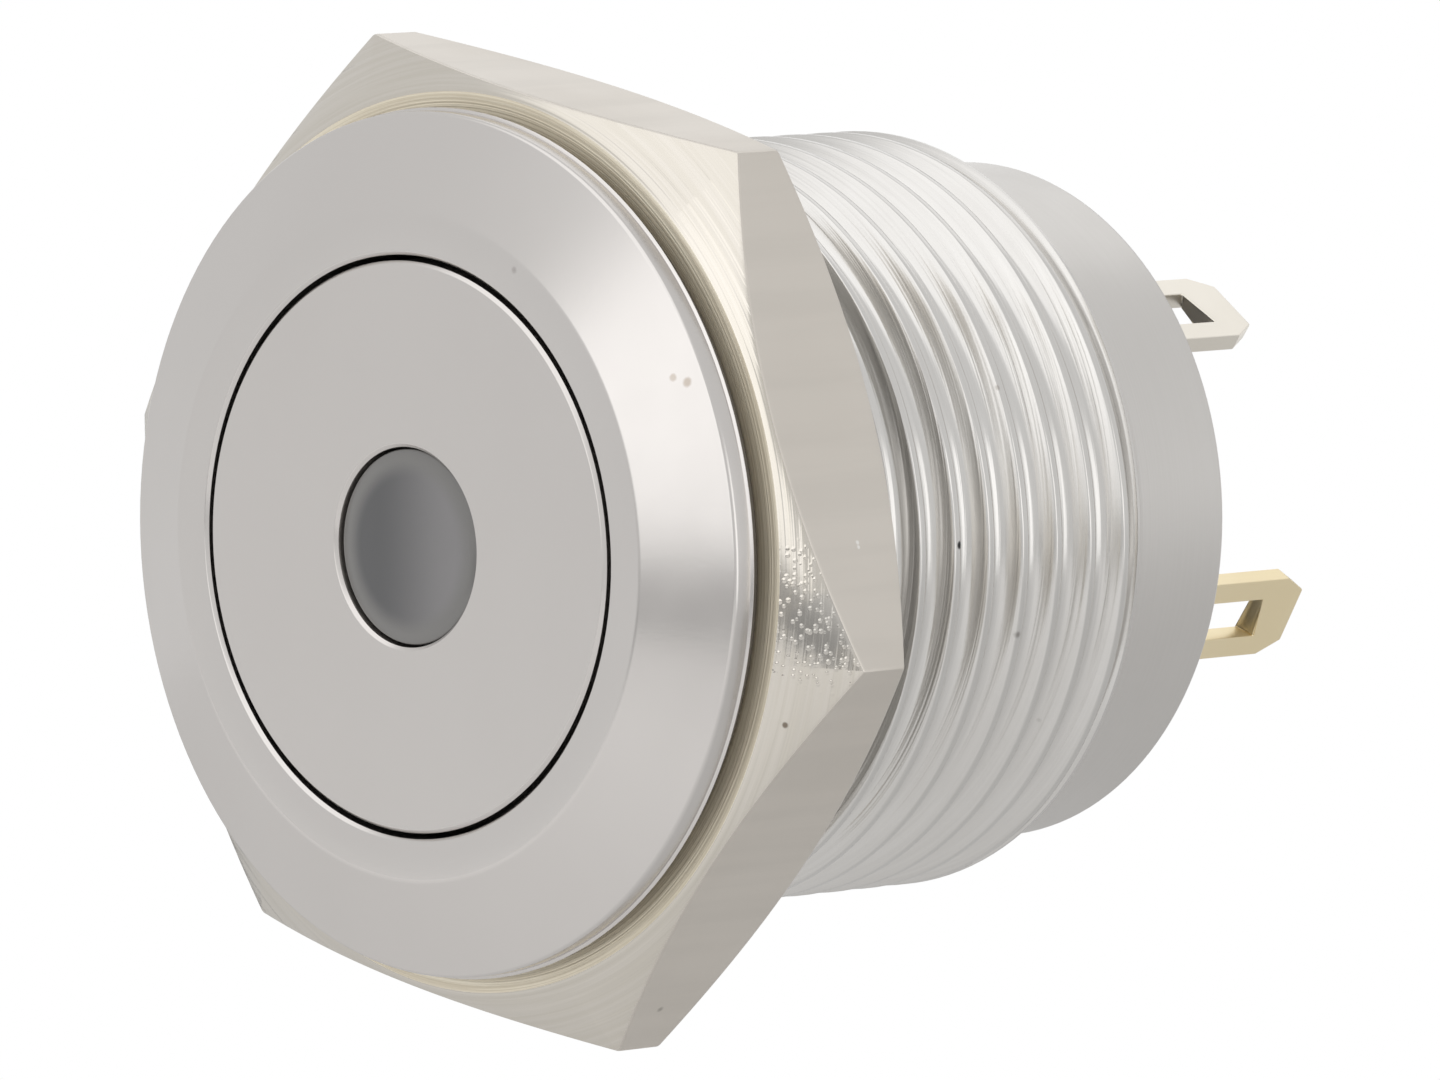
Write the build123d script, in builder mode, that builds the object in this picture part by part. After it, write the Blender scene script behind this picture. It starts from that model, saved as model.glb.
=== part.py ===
from build123d import *
from math import cos, radians, sin, tan
import os

# Flush metal pushbutton for a 16 mm panel hole, with a lit dot in its button.
# Millimetres. The origin is the centre of the head's rear face, where it meets the panel.
# The button faces -Y, the solder lugs point along +Y, and +Z is up.

# Threaded barrel
thread_radius = 8.0
thread_pitch = 1.0
thread_depth_share = 0.6134
first_crest = 0.93
full_crest = 3.93
low_crest_drop = 0.2
barrel_end = 12.26
end_groove_width = 0.27
end_groove_depth = 0.2

# Head in front of the barrel
head_overhang = 1.0
head_height = 1.2
head_rim_height = 0.45
head_bevel_width = 2.1

# Plain collar behind the barrel
collar_step = 0.8
collar_length = 3.49
collar_edge = 0.15
collar_wall = 0.6

# Chambers inside the barrel
button_guide_end = 3.3
base_seat = 9.0
base_ledge = 0.3

# Button and its travel
button_travel = 1.5
button_play = 0.12
button_edge = 0.1
button_wall = 1.0
button_face_wall = 1.2
button_flange_width = 0.3
button_flange_height = 0.8
flange_end_play = 0.05
flange_side_play = 0.1

# O-ring round the button
seal_wire = 0.6
seal_squeeze_play = 0.02
seal_groove_width = 0.7
seal_groove_centre = 1.2

# Light guide in the button
dot_radius = 2.06
dot_play = 0.1
dot_recess = 0.15
dot_edge = 0.2
guide_flange_width = 0.94
guide_flange_height = 0.8
guide_stem_play = 0.25
guide_stem_gap = 0.2

# Lamp, its leads and its resistor
lamp_radius = 1.5
lamp_flange_width = 0.3
lamp_flange_height = 0.9
lamp_height = 4.2
lead_side = 0.45
lead_spread = 2.54
lead_bend_depth = 0.8
resistor_radius = 0.6
resistor_length = 2.0
resistor_inner_end = 1.9

# Plunger behind the button, whose tube reaches round the lamp
plunger_play = 0.05
plunger_disc_height = 2.2
plunger_lamp_play = 0.15
plunger_tube_wall = 0.65

# Moving bridge, its contacts and its retainer
bridge_thickness = 0.3
bridge_ring_width = 1.0
bridge_play = 0.05
bridge_ear_width = 1.6
bridge_ear_margin = 0.1
retainer_height = 0.5
retainer_width = 0.5
contact_gap = 1.0
contact_rivet_radius = 0.6
contact_rivet_margin = 0.1
moving_contact_height = 0.3
fixed_contact_height = 0.35

# Springs
return_spring_wire = 0.45
return_spring_play = 0.325
return_spring_turns = 4.5
contact_spring_wire = 0.3
contact_spring_play = 0.1
contact_spring_turns = 5.0

# Moulded base and potting
base_height = 3.4
base_play = 0.05
base_pocket_play = 0.2
base_pocket_depth = 0.5
potting_drop = 0.3

# Solder lugs
lug_width = 1.96
lug_thickness = 0.4
lug_bridge_gap = 0.2
lug_foot_margin = 0.1
lug_eye_width = 0.94
lug_eye_length = 2.4
lug_eye_corner = 0.12
lug_end_wall = 1.04
lug_tip_width = 0.33
lug_tip_length = 0.6
contact_lug_reach = 5.05
lamp_lug_reach = 4.65
lamp_lug_stake = 1.8
contact_lug_angle = -30.7
lamp_lug_angle = 54.0

# Hexagonal nut and the ring that seals the panel
nut_wall = 1.5
nut_height = 3.1
nut_turn = 49.15
nut_land_inset = 0.2
nut_bevel_angle = 30.0
nut_bore_play = 0.05
nut_bore_bevel = 0.35
panel_seal_height = 0.4
panel_seal_inset = 0.25
panel_seal_play = 0.05

# Radii that follow from the sizes above, from the outside in
root_radius = thread_radius - thread_depth_share * thread_pitch
low_crest_radius = thread_radius - low_crest_drop
head_radius = thread_radius + head_overhang
head_flat_radius = head_radius - head_bevel_width
collar_radius = thread_radius - collar_step
rear_chamber_radius = collar_radius - collar_wall
front_chamber_radius = rear_chamber_radius - base_ledge
button_flange_radius = front_chamber_radius - flange_side_play
button_radius = button_flange_radius - button_flange_width
button_bore_radius = button_radius + button_play
skirt_inner_radius = button_radius - button_wall
return_spring_radius = front_chamber_radius - return_spring_play - return_spring_wire / 2
lamp_flange_radius = lamp_radius + lamp_flange_width
plunger_bore_radius = lamp_flange_radius + plunger_lamp_play
plunger_tube_radius = plunger_bore_radius + plunger_tube_wall
retainer_radius = plunger_tube_radius + retainer_width
base_pocket_radius = retainer_radius + base_pocket_play
lug_foot_end = base_pocket_radius + lug_foot_margin
contact_ring_radius = lug_foot_end + contact_rivet_margin + contact_rivet_radius
bridge_ear_reach = contact_ring_radius + contact_rivet_radius + bridge_ear_margin
lug_outer_face = bridge_ear_reach + lug_bridge_gap
lug_inner_face = lug_outer_face - lug_thickness
lug_mid_radius = lug_outer_face - lug_thickness / 2
contact_spring_radius = plunger_tube_radius + contact_spring_play + contact_spring_wire / 2
nut_across_flats = 2 * (thread_radius + nut_wall)
nut_corner_radius = nut_across_flats / 2 / cos(radians(30))
nut_land_radius = nut_across_flats / 2 - nut_land_inset
nut_bore_radius = thread_radius + nut_bore_play
panel_seal_radius = head_radius - panel_seal_inset

# Places along the axis that follow from the sizes above, from the front to the rear
head_front = -head_height
flange_front = button_guide_end + flange_end_play
button_end = flange_front + button_flange_height
guide_flange_front = head_front + button_face_wall
guide_flange_rear = guide_flange_front + guide_flange_height
plunger_disc_rear = guide_flange_rear + plunger_disc_height
foot_front = base_seat - lug_thickness
fixed_contact_face = foot_front - fixed_contact_height
moving_contact_face = fixed_contact_face - contact_gap
bridge_rear = moving_contact_face - moving_contact_height
bridge_front = bridge_rear - bridge_thickness
plunger_end = bridge_rear + retainer_height
base_rear = base_seat + base_height
body_end = barrel_end + collar_length
potting_rear = body_end - potting_drop
lamp_seat = base_seat + base_pocket_depth
lamp_front = lamp_seat - lamp_height
guide_stem_end = lamp_front - guide_stem_gap - button_travel
lead_bend = base_rear + lead_bend_depth
thread_crest = thread_pitch / 8
thread_root = thread_pitch / 4
thread_flank = (thread_pitch - thread_crest - thread_root) / 2
last_crest = barrel_end - end_groove_width - thread_crest / 2
nut_front = panel_seal_height
nut_rear = nut_front + nut_height
contact_lug_end = body_end + contact_lug_reach
lamp_lug_end = body_end + lamp_lug_reach

os.makedirs("parts", exist_ok=True)


def front_view(y):
    """The plane at y, seen from the front: its x is X and its y is Z, and it faces -Y."""
    return Plane(origin=(0, y, 0), x_dir=(1, 0, 0), z_dir=(0, -1, 0))


def side_view(angle):
    """The plane through the axis at this angle from +X: its x is the radius and its y is Y."""
    outward = (cos(radians(angle)), 0, sin(radians(angle)))
    across = (-sin(radians(angle)), 0, cos(radians(angle)))
    return Plane(origin=(0, 0, 0), x_dir=outward, z_dir=across)


def lug_face(angle):
    """The outer face of the lug at this angle: its y is Y, and it faces the axis."""
    outward = Vector(cos(radians(angle)), 0, sin(radians(angle)))
    across = Vector(-sin(radians(angle)), 0, cos(radians(angle)))
    return Plane(origin=outward * lug_outer_face, x_dir=across, z_dir=outward * -1)


def finish(part, label):
    """Names a finished piece and writes its STEP file."""
    part.label = label
    export_step(part, f"parts/{label}.step")


def thread_outline():
    """Radius and height of each corner of the thread, from behind the head to the end of the barrel."""
    turns = round((last_crest - first_crest) / thread_pitch)
    corners = []
    for turn in range(turns, -1, -1):
        middle = last_crest - turn * thread_pitch
        crest = thread_radius if middle > full_crest - thread_pitch / 2 else low_crest_radius
        corners.append((root_radius, middle - thread_crest / 2 - thread_flank))
        corners.append((crest, middle - thread_crest / 2))
        corners.append((crest, middle + thread_crest / 2))
        if turn > 0:
            corners.append((root_radius, middle + thread_crest / 2 + thread_flank))
    corners.append((thread_radius - end_groove_depth, barrel_end - end_groove_width / 2))
    corners.append((thread_radius, barrel_end))
    return corners


# Head, barrel and collar, turned from one bar
with BuildPart() as housing_shell:
    with BuildSketch(Plane.XY):
        with BuildLine():
            Polyline(
                (button_bore_radius, head_front),
                (head_flat_radius, head_front),
                (head_radius, -head_rim_height),
                (head_radius, 0),
                (root_radius, 0),
                *thread_outline(),
                (collar_radius, barrel_end + collar_step),
                (collar_radius, body_end - collar_edge),
                (collar_radius - collar_edge, body_end),
                (rear_chamber_radius, body_end),
                (rear_chamber_radius, base_seat),
                (front_chamber_radius, base_seat),
                (front_chamber_radius, button_guide_end),
                (button_bore_radius, button_guide_end),
                close=True,
            )
        make_face()
    revolve(axis=Axis.Y)
finish(housing_shell.part, "housing_shell")

# Rubber ring under the head
with BuildPart() as panel_seal:
    with BuildSketch(front_view(panel_seal_height)):
        Circle(panel_seal_radius)
        Circle(low_crest_radius + panel_seal_play, mode=Mode.SUBTRACT)
    extrude(amount=panel_seal_height)
finish(panel_seal.part, "panel_seal")

# Nut: a hexagon bevelled by a cone at each end
with BuildPart() as hex_nut:
    with BuildSketch(front_view(nut_rear)):
        RegularPolygon(nut_corner_radius, 6, rotation=nut_turn)
    extrude(amount=nut_height)
    with BuildSketch(Plane.XY):
        bevel = (nut_corner_radius - nut_land_radius) * tan(radians(nut_bevel_angle))
        with BuildLine():
            Polyline(
                (nut_bore_radius + nut_bore_bevel, nut_front),
                (nut_land_radius, nut_front),
                (nut_corner_radius, nut_front + bevel),
                (nut_corner_radius, nut_rear - bevel),
                (nut_land_radius, nut_rear),
                (nut_bore_radius + nut_bore_bevel, nut_rear),
                (nut_bore_radius, nut_rear - nut_bore_bevel),
                (nut_bore_radius, nut_front + nut_bore_bevel),
                close=True,
            )
        make_face()
    revolve(axis=Axis.Y, mode=Mode.INTERSECT)
finish(hex_nut.part, "hex_nut")

# Button: a cup with the dot's hole in its face, an O-ring groove and a rear flange
with BuildPart() as button_cap:
    groove_bottom = button_bore_radius - seal_squeeze_play - seal_wire - seal_squeeze_play
    groove_front = seal_groove_centre - seal_groove_width / 2
    groove_rear = seal_groove_centre + seal_groove_width / 2
    with BuildSketch(Plane.XY):
        with BuildLine():
            Polyline(
                (dot_radius + button_edge, head_front),
                (button_radius - button_edge, head_front),
                (button_radius, head_front + button_edge),
                (button_radius, groove_front),
                (groove_bottom, groove_front),
                (groove_bottom, groove_rear),
                (button_radius, groove_rear),
                (button_radius, flange_front),
                (button_flange_radius, flange_front),
                (button_flange_radius, button_end),
                (skirt_inner_radius, button_end),
                (skirt_inner_radius, guide_flange_front),
                (dot_radius, guide_flange_front),
                (dot_radius, head_front + button_edge),
                close=True,
            )
        make_face()
    revolve(axis=Axis.Y)
finish(button_cap.part, "button_cap")

# O-ring in the button's groove
with BuildPart() as button_seal:
    with BuildSketch(Plane.XY):
        with Locations((button_bore_radius - seal_squeeze_play - seal_wire / 2, seal_groove_centre)):
            Circle(seal_wire / 2)
    revolve(axis=Axis.Y)
finish(button_seal.part, "button_seal")

# Light guide: a dot in the button's face, a flange behind it and a stem towards the lamp
with BuildPart() as dot_lens:
    dot_head_radius = dot_radius - dot_play
    dot_front = head_front + dot_recess
    guide_flange_radius = dot_radius + guide_flange_width
    guide_stem_radius = plunger_bore_radius - guide_stem_play
    with BuildSketch(Plane.XY):
        with BuildLine():
            Polyline(
                (dot_head_radius, dot_front + dot_edge),
                (dot_head_radius, guide_flange_front),
                (guide_flange_radius, guide_flange_front),
                (guide_flange_radius, guide_flange_rear),
                (guide_stem_radius, guide_flange_rear),
                (guide_stem_radius, guide_stem_end),
                (0, guide_stem_end),
                (0, dot_front),
                (dot_head_radius - dot_edge, dot_front),
            )
            RadiusArc(
                (dot_head_radius - dot_edge, dot_front),
                (dot_head_radius, dot_front + dot_edge),
                dot_edge,
            )
        make_face()
    revolve(axis=Axis.Y)
finish(dot_lens.part, "dot_lens")

# Plunger: a disc in the button and a tube that reaches round the lamp
with BuildPart() as plunger:
    with BuildSketch(Plane.XY):
        with BuildLine():
            Polyline(
                (plunger_bore_radius, guide_flange_rear),
                (skirt_inner_radius - plunger_play, guide_flange_rear),
                (skirt_inner_radius - plunger_play, plunger_disc_rear),
                (plunger_tube_radius, plunger_disc_rear),
                (plunger_tube_radius, plunger_end),
                (plunger_bore_radius, plunger_end),
                close=True,
            )
        make_face()
    revolve(axis=Axis.Y)
finish(plunger.part, "plunger")

# Ring that holds the bridge on the plunger's tube
with BuildPart() as bridge_retainer:
    with BuildSketch(front_view(plunger_end)):
        Circle(retainer_radius)
        Circle(plunger_tube_radius, mode=Mode.SUBTRACT)
    extrude(amount=retainer_height)
finish(bridge_retainer.part, "bridge_retainer")

# Bridge: a ring round the tube with an ear for each contact
with BuildPart() as contact_bridge:
    with BuildSketch(front_view(bridge_rear)):
        Circle(plunger_tube_radius + bridge_ring_width)
        with Locations(Location((0, 0, 0), (0, 0, contact_lug_angle))):
            SlotOverall(2 * bridge_ear_reach, bridge_ear_width)
        Circle(plunger_tube_radius + bridge_play, mode=Mode.SUBTRACT)
    extrude(amount=bridge_thickness)
finish(contact_bridge.part, "contact_bridge")

# Contact rivets, a fixed and a moving one at each end of the bridge
contact_ends = {"common": contact_lug_angle, "open": contact_lug_angle + 180}
for end, angle in contact_ends.items():
    centre = (contact_ring_radius * cos(radians(angle)), contact_ring_radius * sin(radians(angle)))
    with BuildPart() as moving_contact:
        with BuildSketch(front_view(moving_contact_face)):
            with Locations(centre):
                Circle(contact_rivet_radius)
        extrude(amount=moving_contact_height)
    finish(moving_contact.part, f"moving_contact_{end}")
    with BuildPart() as fixed_contact:
        with BuildSketch(front_view(foot_front)):
            with Locations(centre):
                Circle(contact_rivet_radius)
        extrude(amount=fixed_contact_height)
    finish(fixed_contact.part, f"fixed_contact_{end}")


def coil(wire, radius, front, rear, turns):
    """A coil spring of round wire whose ends lie on the planes at front and rear."""
    height = rear - front - wire
    with BuildPart() as spring:
        with BuildLine() as path:
            Helix(height / turns, height, radius, center=(0, front + wire / 2, 0), direction=(0, 1, 0))
        with BuildSketch(Plane(origin=path.line @ 0, z_dir=path.line % 0)):
            Circle(wire / 2)
        sweep(path=path.line, is_frenet=True)
    return spring.part


finish(coil(return_spring_wire, return_spring_radius, button_end, base_seat, return_spring_turns), "return_spring")
finish(
    coil(contact_spring_wire, contact_spring_radius, plunger_disc_rear, bridge_front, contact_spring_turns),
    "contact_spring",
)


def solder_lug(angle, inner_end, outer_end, has_foot):
    """A flat lug with a rectangular eye, a narrowed tip and, on a switch contact, a foot turned in."""
    eye_rear = outer_end - lug_end_wall
    half = lug_width / 2
    with BuildPart() as lug:
        with BuildSketch(lug_face(angle)):
            with BuildLine():
                Polyline(
                    (-half, inner_end),
                    (half, inner_end),
                    (half, outer_end - lug_tip_length),
                    (half - lug_tip_width, outer_end),
                    (lug_tip_width - half, outer_end),
                    (-half, outer_end - lug_tip_length),
                    close=True,
                )
            make_face()
            with Locations((0, eye_rear - lug_eye_length / 2)):
                RectangleRounded(lug_eye_width, lug_eye_length, lug_eye_corner, mode=Mode.SUBTRACT)
        extrude(amount=lug_thickness)
        if has_foot:
            with BuildSketch(side_view(angle)):
                with Locations(((lug_foot_end + lug_outer_face) / 2, inner_end + lug_thickness / 2)):
                    Rectangle(lug_outer_face - lug_foot_end, lug_thickness)
            extrude(amount=half, both=True)
    return lug.part


lamp_lug_start = base_rear - lamp_lug_stake
lugs = {
    "terminal_common": solder_lug(contact_lug_angle, foot_front, contact_lug_end, True),
    "terminal_normally_open": solder_lug(contact_lug_angle + 180, foot_front, contact_lug_end, True),
    "terminal_lamp_plus": solder_lug(lamp_lug_angle, lamp_lug_start, lamp_lug_end, False),
    "terminal_lamp_minus": solder_lug(lamp_lug_angle + 180, lamp_lug_start, lamp_lug_end, False),
}
for name, lug in lugs.items():
    finish(lug, name)

# Lamp: a domed body on a flange that stands in the base's pocket
with BuildPart() as led:
    dome_base = lamp_front + lamp_radius
    with BuildSketch(Plane.XY):
        with BuildLine():
            Polyline(
                (0, lamp_front),
                (0, lamp_seat),
                (lamp_flange_radius, lamp_seat),
                (lamp_flange_radius, lamp_seat - lamp_flange_height),
                (lamp_radius, lamp_seat - lamp_flange_height),
                (lamp_radius, dome_base),
            )
            CenterArc((0, dome_base), lamp_radius, -90, 90)
        make_face()
    revolve(axis=Axis.Y)
finish(led.part, "led")


def bent_lead(angle, reach):
    """A square lead that runs back from the lamp, turns outward and ends at this radius."""
    start = lead_spread / 2
    with BuildPart() as lead:
        with BuildSketch(side_view(angle)):
            with BuildLine():
                Polyline(
                    (start - lead_side / 2, lamp_seat),
                    (start + lead_side / 2, lamp_seat),
                    (start + lead_side / 2, lead_bend - lead_side / 2),
                    (reach, lead_bend - lead_side / 2),
                    (reach, lead_bend + lead_side / 2),
                    (start - lead_side / 2, lead_bend + lead_side / 2),
                    close=True,
                )
            make_face()
        extrude(amount=lead_side / 2, both=True)
    return lead.part


led_anode_lead = bent_lead(lamp_lug_angle, resistor_inner_end)
led_cathode_lead = bent_lead(lamp_lug_angle + 180, lug_inner_face)
finish(led_anode_lead, "led_anode_lead")
finish(led_cathode_lead, "led_cathode_lead")

# Resistor between the lamp's anode and its lug, with its own outer lead
with BuildPart() as series_resistor:
    lamp_side = side_view(lamp_lug_angle)
    inner_end = lamp_side.x_dir * resistor_inner_end + Vector(0, lead_bend, 0)
    with BuildSketch(Plane(origin=inner_end, x_dir=(0, 1, 0), z_dir=lamp_side.x_dir)):
        Circle(resistor_radius)
    extrude(amount=resistor_length)
    with BuildSketch(lamp_side):
        with Locations(((resistor_inner_end + lug_inner_face) / 2, lead_bend)):
            Rectangle(lug_inner_face - resistor_inner_end, lead_side)
    extrude(amount=lead_side / 2, both=True)
finish(series_resistor.part, "series_resistor")

# Moulded base with a pocket for the lamp and slots for the lugs
with BuildPart() as contact_base:
    with BuildSketch(front_view(base_rear)):
        Circle(rear_chamber_radius - base_play)
        with PolarLocations(lug_mid_radius, 2, start_angle=contact_lug_angle):
            Rectangle(lug_thickness, lug_width, mode=Mode.SUBTRACT)
        with PolarLocations(lead_spread / 2, 2, start_angle=lamp_lug_angle):
            Rectangle(lead_side, lead_side, mode=Mode.SUBTRACT)
    extrude(amount=base_height)
    with BuildSketch(front_view(lamp_seat)):
        Circle(base_pocket_radius)
    extrude(amount=base_pocket_depth, mode=Mode.SUBTRACT)
    with BuildSketch(front_view(base_rear)):
        with PolarLocations(lug_mid_radius, 2, start_angle=lamp_lug_angle):
            Rectangle(lug_thickness, lug_width)
    extrude(amount=lamp_lug_stake, mode=Mode.SUBTRACT)
finish(contact_base.part, "contact_base")

# Potting that fills the collar behind the base, round the lugs, the leads and the resistor
with BuildPart() as epoxy_seal:
    with BuildSketch(front_view(potting_rear)):
        Circle(rear_chamber_radius)
        with PolarLocations(lug_mid_radius, 2, start_angle=contact_lug_angle):
            Rectangle(lug_thickness, lug_width, mode=Mode.SUBTRACT)
        with PolarLocations(lug_mid_radius, 2, start_angle=lamp_lug_angle):
            Rectangle(lug_thickness, lug_width, mode=Mode.SUBTRACT)
    extrude(amount=potting_rear - base_rear)
    add(led_anode_lead, mode=Mode.SUBTRACT)
    add(led_cathode_lead, mode=Mode.SUBTRACT)
    add(series_resistor.part, mode=Mode.SUBTRACT)
finish(epoxy_seal.part, "epoxy_seal")
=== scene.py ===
import math

import bmesh
import bpy
from mathutils import Matrix, Vector


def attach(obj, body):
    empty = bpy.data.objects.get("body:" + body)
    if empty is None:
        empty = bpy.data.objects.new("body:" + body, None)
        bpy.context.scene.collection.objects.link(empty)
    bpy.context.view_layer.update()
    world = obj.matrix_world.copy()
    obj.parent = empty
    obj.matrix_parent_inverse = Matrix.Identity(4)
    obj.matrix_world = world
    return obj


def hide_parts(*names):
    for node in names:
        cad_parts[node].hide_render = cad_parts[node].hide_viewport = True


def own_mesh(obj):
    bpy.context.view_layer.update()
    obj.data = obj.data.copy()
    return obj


# A flush metal pushbutton for a 16 mm hole. Sizes in the dictionaries are millimetres, in the
# part's own frame: Y runs from the button back to the solder lugs, and Z is up.
mm = 0.001
weldGap = 0.0005 * mm  # points nearer than this become one, and a cut takes them as lying on it
seamGap = 0.002 * mm  # the same where the thread's turns or the nut's flats meet
cutGap = 0.0001 * mm  # how near a cut through the thread a point counts as on it
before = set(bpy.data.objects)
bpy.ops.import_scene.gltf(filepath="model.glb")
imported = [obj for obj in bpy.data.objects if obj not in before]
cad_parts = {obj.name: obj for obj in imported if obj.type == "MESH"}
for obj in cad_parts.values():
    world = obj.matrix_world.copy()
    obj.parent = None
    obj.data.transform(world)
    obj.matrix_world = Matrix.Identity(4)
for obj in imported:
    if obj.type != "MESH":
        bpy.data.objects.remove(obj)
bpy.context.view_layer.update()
print("frame loaded:", len(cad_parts), "nodes")


# Making meshes

def wireProfile(bm, corners, closed=True, segments=3):
    # Each corner is (radius, place along Y, rounding), and the wire lies in the XY plane.
    points = [bm.verts.new((radius * mm, along * mm, 0)) for radius, along, rounding in corners]
    pairs = list(zip(points, points[1:]))
    if closed:
        pairs.append((points[-1], points[0]))
    for pair in pairs:
        bm.edges.new(pair)
    for point, (radius, along, rounding) in zip(points, corners):
        if rounding:
            bmesh.ops.bevel(bm, geom=[point], affect="VERTICES", offset=rounding * mm,
                            offset_type="OFFSET", segments=segments, profile=0.5, material=-1)


def turnFull(bm, steps):
    bmesh.ops.spin(bm, geom=bm.verts[:] + bm.edges[:], cent=(0, 0, 0), axis=(0, 1, 0),
                   dvec=(0, 0, 0), angle=math.tau, steps=steps, use_merge=True)
    bmesh.ops.remove_doubles(bm, verts=bm.verts, dist=weldGap)


def pickKind(parts, kind):
    return [part for part in parts if isinstance(part, kind)]


def cutAcross(bm, place, outward, clear=False):
    # with clear, what lies outward of the cut is deleted
    everything = bm.verts[:] + bm.edges[:] + bm.faces[:]
    return bmesh.ops.bisect_plane(bm, geom=everything, dist=weldGap, plane_co=Vector(place) * mm,
                                  plane_no=Vector(outward), clear_outer=clear)


def finishMesh(name, bm, materials, sharpAngle=25):
    bmesh.ops.remove_doubles(bm, verts=bm.verts, dist=weldGap)
    bmesh.ops.dissolve_degenerate(bm, edges=bm.edges, dist=weldGap)
    bmesh.ops.recalc_face_normals(bm, faces=bm.faces)
    for face in bm.faces:
        face.smooth = True
    for edge in bm.edges:
        if edge.is_manifold and edge.calc_face_angle() > math.radians(sharpAngle):
            edge.smooth = False
    mesh = bpy.data.meshes.new(name)
    bm.to_mesh(mesh)
    bm.free()
    for material in materials:
        mesh.materials.append(material)
    piece = bpy.data.objects.new(name, mesh)
    bpy.context.scene.collection.objects.link(piece)
    weighted = piece.modifiers.new("flatFaces", "WEIGHTED_NORMAL")
    weighted.keep_sharp = True
    weighted.weight = 80
    return piece


def turnedPiece(name, corners, materials, steps=160):
    bm = bmesh.new()
    wireProfile(bm, corners)
    turnFull(bm, steps)
    return finishMesh(name, bm, materials)


def placePiece(piece, body, slot, *nodes):
    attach(piece, body)
    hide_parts(*nodes)
    print("made", piece.name, len(piece.data.polygons), "faces")
    return piece


# Shared effects, as node groups

# Scales are per metre, but lathe lines per millimetre and their streaks per line, and radii are in
# metres. A range says where a soft step begins and ends.
effectValues = {
    "satinGrain": {"pits": 9000.0, "pitDetail": 3, "clouds": 260, "cloudDetail": 4, "cloudRange": (0.3, 0.7)},
    "latheMarks": {"lines": 9.0, "ridgeDetail": 2, "ridgeRange": (0.35, 0.65),
                   "streaks": 1.6, "streakDetail": 3, "streakRange": (0.4, 0.6)},
    "handlingMarks": {"scratches": 500.0, "turn": (0.3, 0.5, 0.2), "stretch": (1, 0.06, 1), "detail": 1,
                      "scratchRange": (0.66, 0.74), "specks": 900.0, "speckRange": (0.1, 0.02),
                      "speckRarity": 0.93},
    "millingMarks": {"bands": 1500.0, "stretch": (1, 0.07, 1), "detail": 5, "streakRange": (0.4, 0.66)},
    "coarseGrains": {"grains": 9000.0, "radius": 0.0015, "fullWithin": 0.75, "grainRange": (0.42, 0.05)},
    "blemish": {"radius": 0.0002, "wobble": 3500, "leastReach": 0.5, "fullWithin": 0.4},
}


def newGroup(name, inputs, outputs):
    group = bpy.data.node_groups.new(name, "ShaderNodeTree")
    for label, kind, value in inputs:
        socket = group.interface.new_socket(label, in_out="INPUT", socket_type=kind)
        socket.default_value = value
    for label in outputs:
        group.interface.new_socket(label, in_out="OUTPUT", socket_type="NodeSocketFloat")
    return group, group.nodes.new("NodeGroupInput"), group.nodes.new("NodeGroupOutput")


def feed(tree, socket, value):
    # a colour or a number is set on the socket, and another node's output is linked to it
    if isinstance(value, tuple):
        socket.default_value = (*value, 1)
    elif isinstance(value, (int, float)):
        socket.default_value = value
    else:
        tree.links.new(value, socket)


def addMath(tree, operation, first, second=None):
    node = tree.nodes.new("ShaderNodeMath")
    node.operation = operation
    feed(tree, node.inputs[0], first)
    if second is not None:
        feed(tree, node.inputs[1], second)
    return node.outputs[0]


def addRange(tree, value, low, high, toLow=0.0, toHigh=1.0):
    node = tree.nodes.new("ShaderNodeMapRange")
    node.interpolation_type = "SMOOTHSTEP"
    tree.links.new(value, node.inputs["Value"])
    for label, number in (("From Min", low), ("From Max", high), ("To Min", toLow), ("To Max", toHigh)):
        feed(tree, node.inputs[label], number)
    return node.outputs["Result"]


def addNoise(tree, place, scale, detail=2):
    node = tree.nodes.new("ShaderNodeTexNoise")
    node.inputs["Detail"].default_value = detail
    tree.links.new(place, node.inputs["Vector"])
    feed(tree, node.inputs["Scale"], scale)
    return node.outputs["Fac"]


def addCells(tree, place, scale):
    node = tree.nodes.new("ShaderNodeTexVoronoi")
    tree.links.new(place, node.inputs["Vector"])
    tree.links.new(scale, node.inputs["Scale"])
    return node


def addDistance(tree, place, centre):
    node = tree.nodes.new("ShaderNodeVectorMath")
    node.operation = "DISTANCE"
    tree.links.new(place, node.inputs[0])
    tree.links.new(centre, node.inputs[1])
    return node.outputs["Value"]


def stretchPlace(tree, stretch, turn=(0, 0, 0)):
    node = tree.nodes.new("ShaderNodeMapping")
    node.inputs["Rotation"].default_value = turn
    node.inputs["Scale"].default_value = stretch
    tree.links.new(objectPlace(tree), node.inputs["Vector"])
    return node.outputs[0]


def objectPlace(tree):
    return tree.nodes.new("ShaderNodeTexCoord").outputs["Object"]


def splitPlace(tree):
    split = tree.nodes.new("ShaderNodeSeparateXYZ")
    tree.links.new(objectPlace(tree), split.inputs[0])
    return split.outputs


def axisDistance(tree, parts):
    squares = addMath(tree, "ADD", addMath(tree, "MULTIPLY", parts["X"], parts["X"]),
                      addMath(tree, "MULTIPLY", parts["Z"], parts["Z"]))
    return addMath(tree, "SQRT", squares)


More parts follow.
